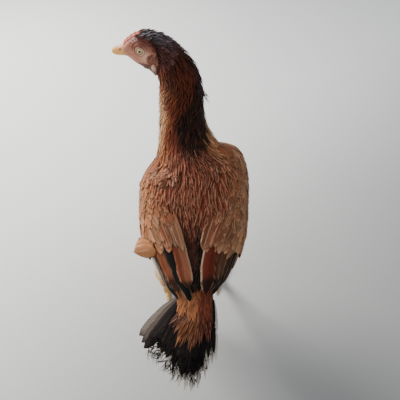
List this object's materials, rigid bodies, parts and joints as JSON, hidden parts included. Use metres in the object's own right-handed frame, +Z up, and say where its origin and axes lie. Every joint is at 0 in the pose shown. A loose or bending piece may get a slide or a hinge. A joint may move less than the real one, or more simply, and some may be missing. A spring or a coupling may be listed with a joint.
{
  "type": "aseel hen",
  "caption": "Standing Aseel hen with folded wings and its head turned aside, as a still life-size model.",
  "frame": {"origin": "on the ground, below the middle of the hen's outline", "axes": "+Z up, +Y to the hen's front, +X to the hen's right"},
  "size_m": [0.2032, 0.3604, 0.5186],
  "materials": {
    "body_plumage": "small close mahogany and cinnamon feathers with pale shafts",
    "neck_hackle": "narrow hackle feathers, black and dark mahogany, satin",
    "wing_plumage": "tan wing feathers with black and brown flight quills",
    "tail_plumage": "black-brown quills under cinnamon coverts",
    "face_skin": "bare, finely wrinkled skin, satin",
    "comb_skin": "fine grained comb, satin",
    "bill_horn": "yellow horn, darker along the ridge",
    "eye": "pearl iris with a black pupil, wet gloss",
    "leg_scales": "overlapping horny scales, satin",
    "claw_horn": "brown horn, satin"
  },
  "bodies": {
    "root": {"torso": "body_plumage", "thigh_left": "body_plumage", "thigh_right": "body_plumage", "neck": "neck_hackle", "wing_left": "wing_plumage", "wing_right": "wing_plumage", "tail": "tail_plumage", "head": "face_skin", "ear_lobe_left": "face_skin", "ear_lobe_right": "face_skin", "comb": "comb_skin", "beak_upper": "bill_horn", "beak_lower": "bill_horn", "eye_left": "eye", "eye_right": "eye", "shank_left": "leg_scales", "shank_right": "leg_scales", "foot_left": "leg_scales", "foot_right": "leg_scales", "claw_hind_left": "claw_horn", "claw_inner_left": "claw_horn", "claw_middle_left": "claw_horn", "claw_outer_left": "claw_horn", "claw_hind_right": "claw_horn", "claw_inner_right": "claw_horn", "claw_middle_right": "claw_horn", "claw_outer_right": "claw_horn"}
  },
  "joints": []
}
